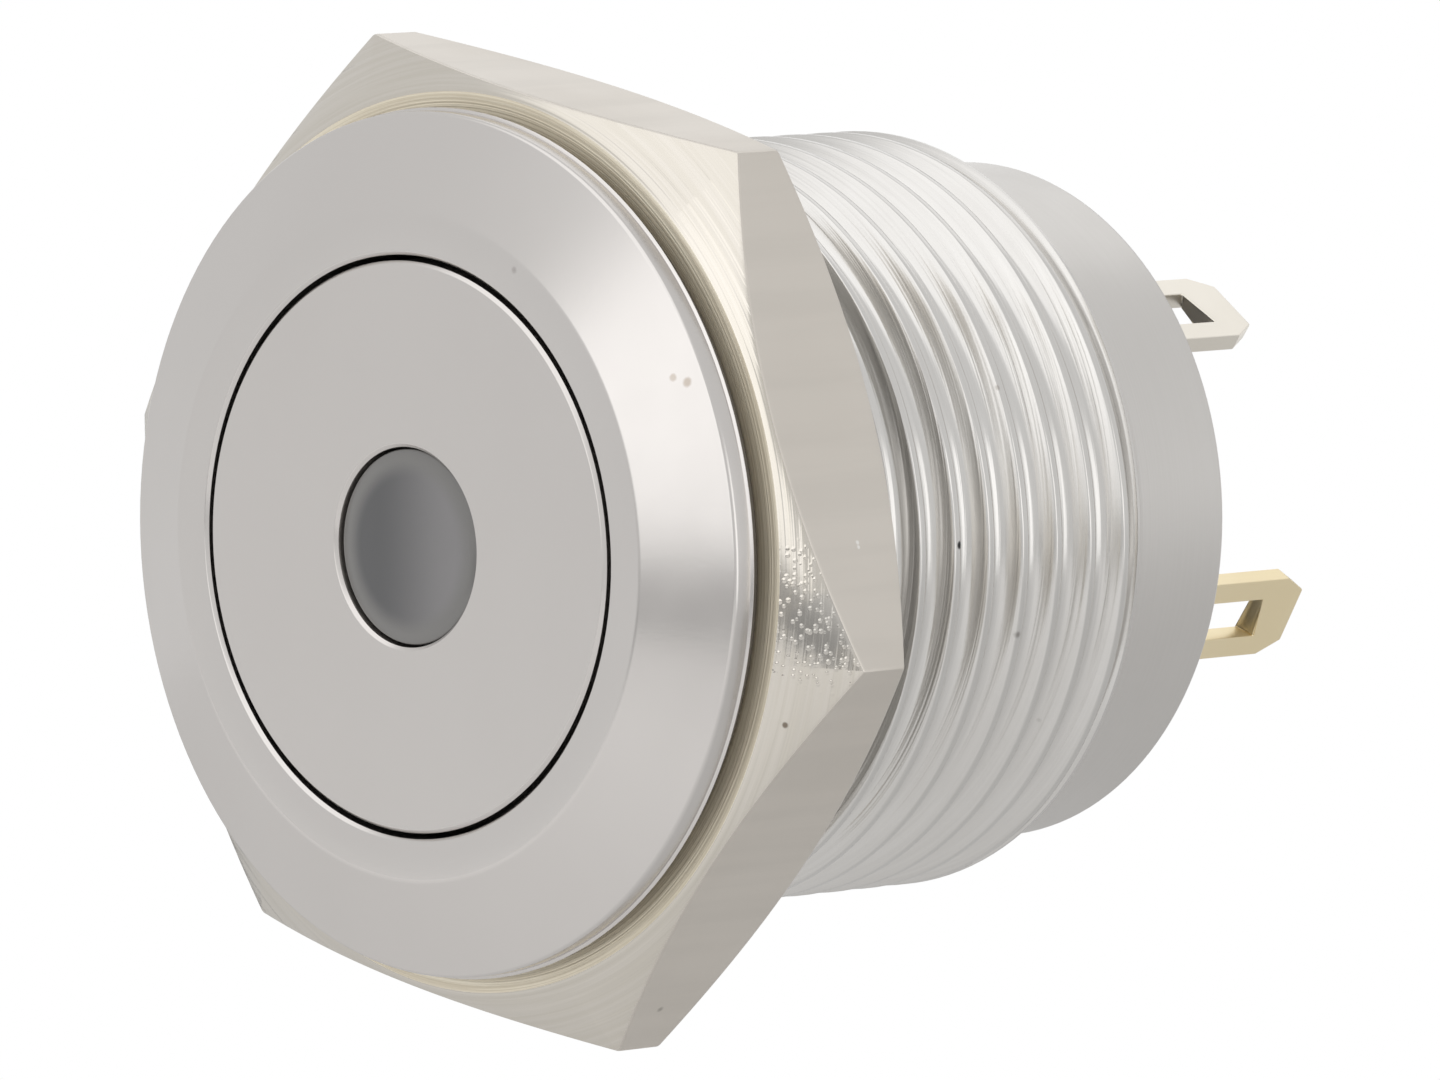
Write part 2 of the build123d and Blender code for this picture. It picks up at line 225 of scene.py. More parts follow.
def makeGrainGroup(values):
    # Isotropic satin: fine pits at one scale and slow clouds at another.
    group, given, result = newGroup("satinGrain", [("Scale", "NodeSocketFloat", values["pits"])],
                                    ["Height", "Clouds"])
    place = objectPlace(group)
    pits = addNoise(group, place, given.outputs["Scale"], values["pitDetail"])
    clouds = addNoise(group, place, values["clouds"], values["cloudDetail"])
    group.links.new(pits, result.inputs["Height"])
    group.links.new(addRange(group, clouds, *values["cloudRange"]), result.inputs["Clouds"])
    return group


def makeTurningGroup(values):
    # Lathe marks: ridges that run round the Y axis, by radius on a face and by Y on a barrel.
    group, given, result = newGroup(
        "latheMarks",
        [("Lines", "NodeSocketFloat", values["lines"]), ("Axial Share", "NodeSocketFloat", 0.0)],
        ["Height", "Streaks"])
    parts = splitPlace(group)
    across = addMath(group, "SUBTRACT", 1.0, given.outputs["Axial Share"])
    depth = addMath(group, "ADD", addMath(group, "MULTIPLY", axisDistance(group, parts), across),
                    addMath(group, "MULTIPLY", parts["Y"], given.outputs["Axial Share"]))
    inLines = addMath(group, "MULTIPLY", addMath(group, "MULTIPLY", depth, 1 / mm), given.outputs["Lines"])
    ridges = group.nodes.new("ShaderNodeTexNoise")
    ridges.noise_dimensions = "1D"
    ridges.inputs["Scale"].default_value = 1
    ridges.inputs["Detail"].default_value = values["ridgeDetail"]
    group.links.new(inLines, ridges.inputs["W"])
    joined = group.nodes.new("ShaderNodeCombineXYZ")
    group.links.new(inLines, joined.inputs["X"])
    group.links.new(addMath(group, "ARCTAN2", parts["Z"], parts["X"]), joined.inputs["Y"])
    streaks = addNoise(group, joined.outputs[0], values["streaks"], values["streakDetail"])
    height = addRange(group, ridges.outputs["Fac"], *values["ridgeRange"])
    group.links.new(height, result.inputs["Height"])
    group.links.new(addRange(group, streaks, *values["streakRange"]), result.inputs["Streaks"])
    return group


def makeWearGroup(values):
    # Handling marks: short scratches, and small dark specks.
    group, given, result = newGroup(
        "handlingMarks",
        [("Scratch Scale", "NodeSocketFloat", values["scratches"]),
         ("Speck Scale", "NodeSocketFloat", values["specks"])],
        ["Scratches", "Specks"])
    drawn = stretchPlace(group, values["stretch"], values["turn"])
    lines = addNoise(group, drawn, given.outputs["Scratch Scale"], values["detail"])
    group.links.new(addRange(group, lines, *values["scratchRange"]), result.inputs["Scratches"])
    cells = addCells(group, objectPlace(group), given.outputs["Speck Scale"])
    near = addRange(group, cells.outputs["Distance"], *values["speckRange"])
    colours = group.nodes.new("ShaderNodeSeparateColor")
    group.links.new(cells.outputs["Color"], colours.inputs[0])
    rare = addMath(group, "GREATER_THAN", colours.outputs[0], values["speckRarity"])
    group.links.new(addMath(group, "MULTIPLY", near, rare), result.inputs["Specks"])
    return group


def makeMillGroup(values):
    # Milling marks on a flat: faint bands that run along the Y axis.
    group, given, result = newGroup("millingMarks", [("Scale", "NodeSocketFloat", values["bands"])],
                                    ["Height", "Streaks"])
    drawn = stretchPlace(group, values["stretch"])
    bands = addNoise(group, drawn, given.outputs["Scale"], values["detail"])
    group.links.new(bands, result.inputs["Height"])
    group.links.new(addRange(group, bands, *values["streakRange"]), result.inputs["Streaks"])
    return group


def makeCoarseGroup(values):
    # Coarse raised grains inside a soft ball round one place, and none outside it.
    group, given, result = newGroup(
        "coarseGrains",
        [("Scale", "NodeSocketFloat", values["grains"]), ("Centre", "NodeSocketVector", (0, 0, 0)),
         ("Radius", "NodeSocketFloat", values["radius"])],
        ["Height"])
    place = objectPlace(group)
    cells = addCells(group, place, given.outputs["Scale"])
    near = addRange(group, addDistance(group, place, given.outputs["Centre"]), given.outputs["Radius"],
                    addMath(group, "MULTIPLY", given.outputs["Radius"], values["fullWithin"]))
    raised = addRange(group, cells.outputs["Distance"], *values["grainRange"])
    group.links.new(addMath(group, "MULTIPLY", near, raised), result.inputs["Height"])
    return group


def makeSpotGroup(values):
    # One soft blemish with an uneven edge, at a place on the part.
    group, given, result = newGroup(
        "blemish",
        [("Centre", "NodeSocketVector", (0, 0, 0)), ("Radius", "NodeSocketFloat", values["radius"])],
        ["Mask"])
    place = objectPlace(group)
    uneven = addMath(group, "ADD", addNoise(group, place, values["wobble"]), values["leastReach"])
    reach = addMath(group, "MULTIPLY", given.outputs["Radius"], uneven)
    mask = addRange(group, addDistance(group, place, given.outputs["Centre"]), reach,
                    addMath(group, "MULTIPLY", reach, values["fullWithin"]))
    group.links.new(mask, result.inputs["Mask"])
    return group


grainGroup = makeGrainGroup(effectValues["satinGrain"])
turningGroup = makeTurningGroup(effectValues["latheMarks"])
millGroup = makeMillGroup(effectValues["millingMarks"])
wearGroup = makeWearGroup(effectValues["handlingMarks"])
spotGroup = makeSpotGroup(effectValues["blemish"])
coarseGroup = makeCoarseGroup(effectValues["coarseGrains"])
print("effect groups ready")


# Finishes

def placeGroup(tree, group, **values):
    node = tree.nodes.new("ShaderNodeGroup")
    node.node_tree = group
    for label, value in values.items():
        node.inputs[label.replace("_", " ")].default_value = value
    return node


def mixColours(tree, mask, first, second):
    node = tree.nodes.new("ShaderNodeMix")
    node.data_type = "RGBA"
    for socket, value in (("Factor", mask), (6, first), (7, second)):
        feed(tree, node.inputs[socket], value)
    return node.outputs[2]


def addRoughness(tree, clouds, look):
    return addRange(tree, clouds, 0.0, 1.0, look["roughness"], look["roughness"] + look["roughDrift"])


def addBump(tree, height, depth, under=None):
    node = tree.nodes.new("ShaderNodeBump")
    node.inputs["Strength"].default_value = 1
    node.inputs["Distance"].default_value = depth * mm
    tree.links.new(height, node.inputs["Height"])
    if under is not None:
        tree.links.new(under, node.inputs["Normal"])
    return node.outputs["Normal"]


def startMaterial(name):
    material = bpy.data.materials.new(name)
    material.use_nodes = True
    tree = material.node_tree
    return material, tree, tree.nodes["Principled BSDF"]


def inMetres(place):
    return tuple(value * mm for value in place)


# What a look leaves out. In a metal's look, lathe is (lines a millimetre, share along Y, depth, streaks),
# milling is (scale, depth, streaks), a grains row is (centre, radius, scale, depth), and a spots row is
# (centre, radius, tint, share).
metalDefaults = {
    "roughDrift": 0.05, "pitDepth": 0.0005, "grains": (), "spots": (), "specks": 0,
    "speckTint": (0.12, 0.1, 0.08), "scratches": 0, "scratchRoughness": 0.2, "scratchDepth": 0.002,
}
plasticDefaults = {"roughDrift": 0.1, "pitScale": 6000.0, "pitDepth": 0.002}


def makeMetal(name, look):
    look = {**metalDefaults, **look}
    material, tree, shader = startMaterial(name)
    shader.inputs["Metallic"].default_value = 1
    grain = placeGroup(tree, grainGroup)
    wear = placeGroup(tree, wearGroup)
    colour = mixColours(tree, grain.outputs["Clouds"], look["colour"], look["shade"])
    rough = addRoughness(tree, grain.outputs["Clouds"], look)
    normal = addBump(tree, grain.outputs["Height"], look["pitDepth"])
    if "lathe" in look or "milling" in look:
        if "lathe" in look:
            lines, axial, depth, streaks = look["lathe"]
            marks = placeGroup(tree, turningGroup, Lines=lines, Axial_Share=axial)
        else:
            scale, depth, streaks = look["milling"]
            marks = placeGroup(tree, millGroup, Scale=scale)
        normal = addBump(tree, marks.outputs["Height"], depth, normal)
        streaked = addMath(tree, "MULTIPLY", marks.outputs["Streaks"], streaks)
        colour = mixColours(tree, streaked, colour, look["streak"])
    for centre, radius, scale, depth in look["grains"]:
        grains = placeGroup(tree, coarseGroup, Scale=scale, Centre=inMetres(centre), Radius=radius * mm)
        normal = addBump(tree, grains.outputs["Height"], depth, normal)
    if look["scratches"]:
        scratched = addMath(tree, "MULTIPLY", wear.outputs["Scratches"], look["scratches"])
        rough = addMath(tree, "ADD", rough, addMath(tree, "MULTIPLY", scratched, look["scratchRoughness"]))
        normal = addBump(tree, wear.outputs["Scratches"], -look["scratchDepth"] * look["scratches"], normal)
    if look["specks"]:
        specked = addMath(tree, "MULTIPLY", wear.outputs["Specks"], look["specks"])
        colour = mixColours(tree, specked, colour, look["speckTint"])
    for centre, radius, tint, share in look["spots"]:
        spot = placeGroup(tree, spotGroup, Centre=inMetres(centre), Radius=radius * mm)
        colour = mixColours(tree, addMath(tree, "MULTIPLY", spot.outputs["Mask"], share), colour, tint)
    tree.links.new(colour, shader.inputs["Base Color"])
    tree.links.new(rough, shader.inputs["Roughness"])
    tree.links.new(normal, shader.inputs["Normal"])
    return material


def makePlastic(name, look):
    look = {**plasticDefaults, **look}
    material, tree, shader = startMaterial(name)
    grain = placeGroup(tree, grainGroup, Scale=look["pitScale"])
    colour = mixColours(tree, grain.outputs["Clouds"], look["colour"], look["shade"])
    tree.links.new(colour, shader.inputs["Base Color"])
    tree.links.new(addRoughness(tree, grain.outputs["Clouds"], look), shader.inputs["Roughness"])
    tree.links.new(addBump(tree, grain.outputs["Height"], look["pitDepth"]), shader.inputs["Normal"])
    for label in ("Transmission Weight", "IOR"):
        if label in look:
            shader.inputs[label].default_value = look[label]
    return material


def makeLens(name, look):
    # A smoky light guide with painted light and shade: a painted shade to the left, a painted reflection paler
    # to the right, and a painted highlight round its edge.
    material, tree, shader = startMaterial(name)
    parts = splitPlace(tree)
    # painted shade on the left turning to painted reflection on the right, along X
    across = addRange(tree, parts["X"], look["paintedShadeAt"] * mm, look["paleAt"] * mm)
    # rim is a painted highlight in a ring round the lens's edge
    rim = addRange(tree, axisDistance(tree, parts), look["rimFrom"] * mm, look["rimTo"] * mm)
    grain = placeGroup(tree, grainGroup, Scale=look["pitScale"])
    clouded = addMath(tree, "MULTIPLY", grain.outputs["Clouds"], look["cloudShare"])
    colour = mixColours(tree, across, look["paintedShade"], look["pale"])
    colour = mixColours(tree, rim, colour, look["rim"])
    colour = mixColours(tree, clouded, colour, look["paintedShade"])
    tree.links.new(colour, shader.inputs["Base Color"])
    tree.links.new(addRoughness(tree, grain.outputs["Clouds"], look), shader.inputs["Roughness"])
    tree.links.new(addBump(tree, grain.outputs["Height"], look["pitDepth"]), shader.inputs["Normal"])
    shader.inputs["IOR"].default_value = look["IOR"]
    shader.inputs["Coat Weight"].default_value = look["coat"]
    return material


metalLooks = {
    "satinHead": {"colour": (0.7, 0.672, 0.65), "shade": (0.688, 0.66, 0.638), "roughness": 0.19,
                  "pitDepth": 0.0005, "specks": 0.3,
                  "spots": [((7.38, -0.69, 3.85), 0.1, (0.46, 0.4, 0.34), 0.7),
                            ((7.7, -0.6, 3.76), 0.13, (0.44, 0.38, 0.32), 0.8)]},
    "satinButton": {"colour": (0.7, 0.67, 0.647), "shade": (0.688, 0.658, 0.635), "roughness": 0.24,
                    "roughDrift": 0.025, "pitDepth": 0.0006, "specks": 0.3},
    "platedBarrel": {"colour": (0.745, 0.73, 0.708), "shade": (0.72, 0.703, 0.68), "roughness": 0.2,
                     "pitDepth": 0.0004, "lathe": (14.0, 1.0, 0.0015, 0.2), "streak": (0.63, 0.612, 0.585),
                     "specks": 0.6, "spots": [((8.0, 6.93, 0.01), 0.1, (0.03, 0.03, 0.03), 1.0),
                                              ((7.36, 8.68, 3.14), 0.1, (0.4, 0.37, 0.33), 0.6),
                                              ((7.33, 10.07, 3.19), 0.1, (0.4, 0.37, 0.33), 0.6)]},
    "satinCollar": {"colour": (0.72, 0.7, 0.675), "shade": (0.7, 0.68, 0.655), "roughness": 0.36,
                    "pitDepth": 0.0004, "lathe": (12.0, 1.0, 0.0006, 0.12), "streak": (0.64, 0.62, 0.59)},
    "milledFlat": {"colour": (0.735, 0.69, 0.63), "shade": (0.715, 0.67, 0.61), "roughness": 0.36,
                   "pitDepth": 0.0008, "milling": (1500.0, 0.002, 0.4), "streak": (0.66, 0.62, 0.565),
                   "specks": 0.5,
                   "spots": [((9.91, 2.06, 0.48), 0.06, (0.95, 0.93, 0.9), 0.8),
                             ((9.91, 2.06, 0.38), 0.06, (0.95, 0.93, 0.9), 0.8)]},
    "turnedBevel": {"colour": (0.73, 0.69, 0.63), "shade": (0.71, 0.67, 0.605), "roughness": 0.12,
                    "pitDepth": 0.0004, "lathe": (7.0, 0.0, 0.004, 0.3), "streak": (0.62, 0.58, 0.5),
                    "grains": [((10.1, 0.9, -0.95), 1.75, 7000.0, 0.01)],
                    # the wide grey spot is a painted darker reflection among the bevel's coarse grains
                    "spots": [((9.21, 0.66, -3.18), 0.09, (0.2, 0.16, 0.12), 0.9),
                              ((10.0, 0.95, -1.15), 1.05, (0.48, 0.47, 0.45), 0.55)]},
    # the nut's front land is tinted warm khaki and lighter than the nut's nickel: a painted reflection for the
    # band seen in the gap under the head, over real lathe marks
    "turnedLandPaintedReflection": {"colour": (0.93, 0.87, 0.74), "shade": (0.87, 0.81, 0.68), "roughness": 0.6,
                   "lathe": (16.0, 0.0, 0.003, 0.7), "streak": (0.72, 0.65, 0.52)},
    # the nut's rear face and countersink take a darker copy of the nut's metal: painted shade for the unlit
    # rear, which the thread beside it reflects
    "turnedRearPaintedShade": {"colour": (0.47, 0.455, 0.425), "shade": (0.43, 0.415, 0.39), "roughness": 0.42,
                   "lathe": (12.0, 0.0, 0.002, 0.4), "streak": (0.36, 0.345, 0.32)},
    "paleGilt": {"colour": (0.92, 0.875, 0.79), "shade": (0.89, 0.845, 0.76), "roughness": 0.34,
                 "pitDepth": 0.0006, "specks": 0.4},
    # the nut's bore is dark grey: painted shade standing in for its inner thread's shadowed grooves
    "paintedThreadShade": {"colour": (0.26, 0.25, 0.23), "shade": (0.2, 0.19, 0.175), "roughness": 0.5},
    "giltLug": {"colour": (1.0, 0.875, 0.61), "shade": (0.97, 0.845, 0.575), "roughness": 0.4,
                "pitDepth": 0.0006, "specks": 0.6, "scratches": 0.3},
    "springBronze": {"colour": (0.68, 0.47, 0.28), "shade": (0.6, 0.4, 0.23), "roughness": 0.3},
    "contactSilver": {"colour": (0.86, 0.85, 0.82), "shade": (0.78, 0.77, 0.73), "roughness": 0.22},
    "springSteel": {"colour": (0.56, 0.56, 0.57), "shade": (0.48, 0.48, 0.49), "roughness": 0.3},
    "tinnedLead": {"colour": (0.72, 0.72, 0.71), "shade": (0.63, 0.63, 0.62), "roughness": 0.35},
}
plasticLooks = {
    "taupeRubber": {"colour": (0.13, 0.119, 0.1), "shade": (0.155, 0.141, 0.12), "roughness": 0.6},
    "blackMoulding": {"colour": (0.03, 0.03, 0.031), "shade": (0.045, 0.045, 0.045), "roughness": 0.5},
    "pottingResin": {"colour": (0.022, 0.022, 0.024), "shade": (0.035, 0.034, 0.034), "roughness": 0.2,
                     "pitDepth": 0.01, "pitScale": 900.0},
    "lampResin": {"colour": (0.7, 0.2, 0.16), "shade": (0.66, 0.18, 0.14), "roughness": 0.1,
                  "Transmission Weight": 0.6, "IOR": 1.53},
    "resistorLacquer": {"colour": (0.5, 0.4, 0.27), "shade": (0.44, 0.34, 0.22), "roughness": 0.3},
}
# the lens's colours are painted light and shade: pale is a painted reflection and rim a painted highlight
lensLook = {
    "paintedShade": (0.086, 0.086, 0.089), "pale": (0.245, 0.238, 0.24), "rim": (0.205, 0.2, 0.192), "paintedShadeAt": -1.0,
    "paleAt": 1.4, "rimFrom": 1.4, "rimTo": 1.85, "roughness": 0.14, "roughDrift": 0.03, "IOR": 1.5,
    "coat": 0.6, "pitScale": 6000.0, "pitDepth": 0.0002, "cloudShare": 0.15,
}
finishes = {name: makeMetal(name, look) for name, look in metalLooks.items()}
finishes["smokedLens"] = makeLens("smokedLens", lensLook)
finishes.update({name: makePlastic(name, look) for name, look in plasticLooks.items()})
print("finishes ready:", len(finishes))


# Housing: head, threaded barrel and collar in one piece

housingSizes = {
    "faceY": -1.2, "rimY": -0.45, "flatRadius": 6.9, "headRadius": 9.0, "rimDrop": 0.06, "ridgeWidth": 0.04,
    "boreRounding": 0.01, "faceRounding": 0.06, "rimRounding": 0.07, "ridgeRounding": 0.003,
    "boreRadius": 6.02, "boreChamfer": 0.07, "guideEnd": 3.3, "frontChamber": 6.3, "baseSeat": 9.0,
    "rearChamber": 6.6, "crestRadius": 8.0, "rootDepth": 0.433, "neckRadius": 7.387, "pitch": 1.0,
    "crestWidth": 0.2, "rootWidth": 0.3, "crestFrontRounding": 0.03, "crestRearRounding": 0.1,
    "rootRounding": 0.14, "longEdge": 0.3, "longEdgeCuts": 3,
    "crestRearAtRight": 5.99, "threadStart": 0.5, "threadEnd": 12.26, "fadeIn": 0.6, "fadeOutFrom": 0.7,
    "fadeOutTo": 0.3, "lowCrestDrop": 0.2, "lowCrestEnd": 2.93, "fullCrestStart": 3.93,
    "endGrooveDepth": 0.16, "grooveRise": 0.08, "grooveLip": 0.05, "stitchGap": 0.02,
    "collarRadius": 7.2, "bodyEnd": 15.75, "collarEdge": 0.15, "coneFootRounding": 0.15, "collarRounding": 0.05,
    "rearRounding": 0.04, "chamberRounding": 0.05, "steps": 144,
}


def rampShare(value, low, high):
    return min(max((value - low) / (high - low), 0), 1)


def threadRadius(along, reach, sizes):
    # The thread rises from the neck, keeps low crests under the nut, and ends in a shallow groove with a lip.
    crest, root = sizes["crestRadius"], sizes["neckRadius"]
    begun = rampShare(along, sizes["threadStart"], sizes["threadStart"] + sizes["fadeIn"])
    wanted = root + (reach - root) * begun
    climbed = rampShare(along, sizes["lowCrestEnd"], sizes["fullCrestStart"])
    lowCrest = crest - sizes["lowCrestDrop"] * (1 - climbed)
    grooveFloor = crest - sizes["endGrooveDepth"]
    end, rise, lip = sizes["threadEnd"], sizes["grooveRise"], sizes["grooveLip"]
    filled = rampShare(along, end - sizes["fadeOutFrom"], end - sizes["fadeOutTo"])
    floor = root + (grooveFloor - root) * filled
    floor += (crest - grooveFloor) * rampShare(along, end - rise - lip, end - lip)
    return max(min(wanted, lowCrest), floor)


def makeThread(bm, sizes):
    pitch, depth = sizes["pitch"], sizes["rootDepth"]
    crest, root = sizes["crestWidth"], sizes["rootWidth"]
    flank = (pitch - crest - root) / 2
    radius = sizes["crestRadius"]
    # one pitch, from the middle of a crest to the middle of the next
    low = sizes["rootRounding"]
    corners = [(radius, 0, 0), (radius, crest / 2, sizes["crestRearRounding"]),
               (radius - depth, crest / 2 + flank, low), (radius - depth, crest / 2 + flank + root, low),
               (radius, pitch - crest / 2, sizes["crestFrontRounding"]), (radius, pitch, 0)]
    wireProfile(bm, corners, closed=False, segments=4)
    for edge in bm.edges[:]:
        if edge.calc_length() > sizes["longEdge"] * mm:
            bmesh.ops.subdivide_edges(bm, edges=[edge], cuts=sizes["longEdgeCuts"])
    # the crest's rear edge is at crestRearAtRight where the thread faces +X
    start = sizes["crestRearAtRight"] - crest / 2
    start -= math.ceil(start + pitch) * pitch
    turns = math.ceil((sizes["threadEnd"] - start) / pitch) + 1
    bmesh.ops.translate(bm, verts=bm.verts, vec=(0, start * mm, 0))
    steps = sizes["steps"]
    bmesh.ops.spin(bm, geom=bm.verts[:] + bm.edges[:], cent=(0, 0, 0), axis=(0, 1, 0),
                   dvec=(0, pitch * mm / steps, 0), angle=math.tau, steps=steps, use_merge=False)
    lastTurn = bm.verts[:] + bm.edges[:] + bm.faces[:]
    for turn in range(turns - 1):
        lastTurn = bmesh.ops.duplicate(bm, geom=lastTurn)["geom"]
        bmesh.ops.translate(bm, verts=pickKind(lastTurn, bmesh.types.BMVert), vec=(0, pitch * mm, 0))
    bmesh.ops.remove_doubles(bm, verts=bm.verts, dist=seamGap)
    end, lip = sizes["threadEnd"], sizes["grooveLip"]
    cuts = [(sizes["threadStart"], -1, True), (end, 1, True)]
    cuts += [(end - back, 1, False) for back in (sizes["fadeOutTo"], sizes["grooveRise"] + lip, lip)]
    for place, outward, clear in cuts:
        bmesh.ops.bisect_plane(bm, geom=bm.verts[:] + bm.edges[:] + bm.faces[:], dist=cutGap,
                               plane_co=(0, place * mm, 0), plane_no=(0, outward, 0), clear_outer=clear)
    for vert in bm.verts:
        reach = math.hypot(vert.co.x, vert.co.z)
        scale = threadRadius(vert.co.y / mm, reach / mm, sizes) * mm / reach
        vert.co.x *= scale
        vert.co.z *= scale


def ringEdges(bm, place, radius, placeSlack=0.003, radiusSlack=0.02):
    found = []
    for edge in bm.edges:
        if edge.is_boundary and all(abs(v.co.y / mm - place) < placeSlack for v in edge.verts):
            if all(abs(math.hypot(v.co.x, v.co.z) / mm - radius) < radiusSlack for v in edge.verts):
                found.append(edge)
    return found


def makeHousing(sizes):
    bm = bmesh.new()
    makeThread(bm, sizes)
    shell = bmesh.new()
    neck = sizes["neckRadius"]
    step = sizes["crestRadius"] - sizes["collarRadius"]
    gap = sizes["stitchGap"]
    wireProfile(shell, [
        (sizes["crestRadius"], sizes["threadEnd"] + gap, 0),
        (sizes["collarRadius"], sizes["threadEnd"] + step, sizes["coneFootRounding"]),
        (sizes["collarRadius"], sizes["bodyEnd"] - sizes["collarEdge"], sizes["collarRounding"]),
        (sizes["collarRadius"] - sizes["collarEdge"], sizes["bodyEnd"], sizes["rearRounding"]),
        (sizes["rearChamber"], sizes["bodyEnd"], sizes["chamberRounding"]),
        (sizes["rearChamber"], sizes["baseSeat"], 0),
        (sizes["frontChamber"], sizes["baseSeat"], 0),
        (sizes["frontChamber"], sizes["guideEnd"], 0),
        (sizes["boreRadius"], sizes["guideEnd"], 0),
        (sizes["boreRadius"], sizes["faceY"] + sizes["boreChamfer"], 0),
        (sizes["boreRadius"] + sizes["boreChamfer"], sizes["faceY"], sizes["boreRounding"]),
        (sizes["flatRadius"], sizes["faceY"], sizes["faceRounding"]),
        (sizes["headRadius"] - sizes["rimDrop"], sizes["rimY"], sizes["rimRounding"]),
        (sizes["headRadius"] - sizes["rimDrop"], -sizes["ridgeWidth"], 0),
        (sizes["headRadius"], -sizes["ridgeWidth"] / 4, sizes["ridgeRounding"]),
        (sizes["headRadius"], 0, 0),
        (neck, 0, 0),
        (neck, sizes["threadStart"] - gap, 0),
    ], closed=False)
    turnFull(shell, sizes["steps"])
    mesh = bpy.data.meshes.new("shellPart")
    shell.to_mesh(mesh)
    shell.free()
    bm.from_mesh(mesh)
    bpy.data.meshes.remove(mesh)
    seams = ((sizes["threadEnd"], sizes["threadEnd"] + gap, sizes["crestRadius"]),
             (sizes["threadStart"], sizes["threadStart"] - gap, neck))
    for threadPlace, shellPlace, radius in seams:
        rings = ringEdges(bm, threadPlace, radius) + ringEdges(bm, shellPlace, radius)
        bmesh.ops.bridge_loops(bm, edges=rings)
    for face in bm.faces:
        along = face.calc_center_median().y / mm
        face.material_index = 0 if along < 0 else 1 if along < sizes["threadEnd"] + step else 2
    housingFinishes = ("satinHead", "platedBarrel", "satinCollar")
    return finishMesh("housingBody", bm, [finishes[finish] for finish in housingFinishes], sharpAngle=32)


placePiece(makeHousing(housingSizes), "housing", "nickel_plate", "housing_shell")


# Hexagonal nut

nutSizes = {
    "acrossFlats": 19.0, "frontY": 0.4, "rearY": 3.5, "landRadius": 9.3, "bevelAngle": 30,
    "boreRadius": 8.05, "boreBevel": 0.35, "rearBevel": 0.5, "turn": 49.15, "edgeRounding": 0.08,
    "steps": 240, "boreRounding": 0.03, "landRounding": 0.05, "spareReach": 0.1, "slack": 0.01,
    "roundedAngle": 14,
}


def makeNut(sizes):
    bm = bmesh.new()
    reach = sizes["acrossFlats"] / 2 / math.cos(math.radians(30)) + sizes["spareReach"]
    bevel = (reach - sizes["landRadius"]) * math.tan(math.radians(sizes["bevelAngle"]))
    bore, lip, rearLip = sizes["boreRadius"], sizes["boreBevel"], sizes["rearBevel"]
    landEdge, boreEdge = sizes["landRounding"], sizes["boreRounding"]
    wireProfile(bm, [
        (bore + lip, sizes["frontY"], boreEdge), (sizes["landRadius"], sizes["frontY"], landEdge),
        (reach, sizes["frontY"] + bevel, 0), (reach, sizes["rearY"] - bevel, 0),
        (sizes["landRadius"], sizes["rearY"], landEdge), (bore + rearLip, sizes["rearY"], boreEdge),
        (bore, sizes["rearY"] - rearLip, 0), (bore, sizes["frontY"] + lip, 0),
    ])
    turnFull(bm, sizes["steps"])
    bmesh.ops.recalc_face_normals(bm, faces=bm.faces)
    for face in bm.faces:
        middle = face.calc_center_median()
        reach = math.hypot(middle.x, middle.z) / mm
        inside = 4 if middle.y / mm > sizes["rearY"] - rearLip - sizes["slack"] else 2
        inside = 3 if reach < bore + sizes["slack"] else inside
        face.material_index = 1 if reach > sizes["landRadius"] else inside
    for side in range(6):
        angle = math.radians(sizes["turn"] + 30 + 60 * side)
        outward = Vector((math.cos(angle), 0, math.sin(angle)))
        cut = cutAcross(bm, outward * sizes["acrossFlats"] / 2, outward, clear=True)
        rim = pickKind(cut["geom_cut"], bmesh.types.BMEdge)
        for face in bmesh.ops.holes_fill(bm, edges=rim, sides=0)["faces"]:
            face.material_index = 0
    bmesh.ops.remove_doubles(bm, verts=bm.verts, dist=seamGap)
    rounded = math.radians(sizes["roundedAngle"])
    edges = [edge for edge in bm.edges if edge.is_manifold and edge.calc_face_angle() > rounded
             and any(face.material_index == 0 for face in edge.link_faces)]
    bmesh.ops.bevel(bm, geom=edges, affect="EDGES", offset=sizes["edgeRounding"] * mm, offset_type="OFFSET",
                    segments=2, profile=0.5, material=-1, clamp_overlap=True)
    # of these, the bore and rear finishes are painted shade and the land's finish is a painted reflection
    nutFinishes = ("milledFlat", "turnedBevel", "turnedLandPaintedReflection", "paintedThreadShade", "turnedRearPaintedShade")
    return finishMesh("hexNut", bm, [finishes[finish] for finish in nutFinishes])


placePiece(makeNut(nutSizes), "nut", "nickel_plate_nut", "hex_nut")


# Rubber ring under the head

sealSizes = {"outer": 8.75, "inner": 7.85, "thick": 0.4, "rounding": 0.12, "steps": 144}


def makeSeal(sizes):
    edge = sizes["rounding"]
    return turnedPiece("panelSeal", [
        (sizes["inner"], 0, edge), (sizes["outer"], 0, edge),
        (sizes["outer"], sizes["thick"], edge), (sizes["inner"], sizes["thick"], edge),
    ], [finishes["taupeRubber"]], steps=sizes["steps"])


placePiece(makeSeal(sealSizes), "housing", "black_rubber", "panel_seal")


# Button and its lit dot

buttonSizes = {
    "radius": 5.9, "faceY": -1.2, "faceRear": 0.0, "dotRadius": 2.07, "edge": 0.07, "skirtInner": 4.9,
    "grooveFront": 0.85, "grooveRear": 1.55, "grooveRadius": 5.38,
    "flangeFront": 3.35, "flangeRear": 4.15, "flangeRadius": 6.2,
    "edgeRounding": 0.01, "flangeRounding": 0.05,
}


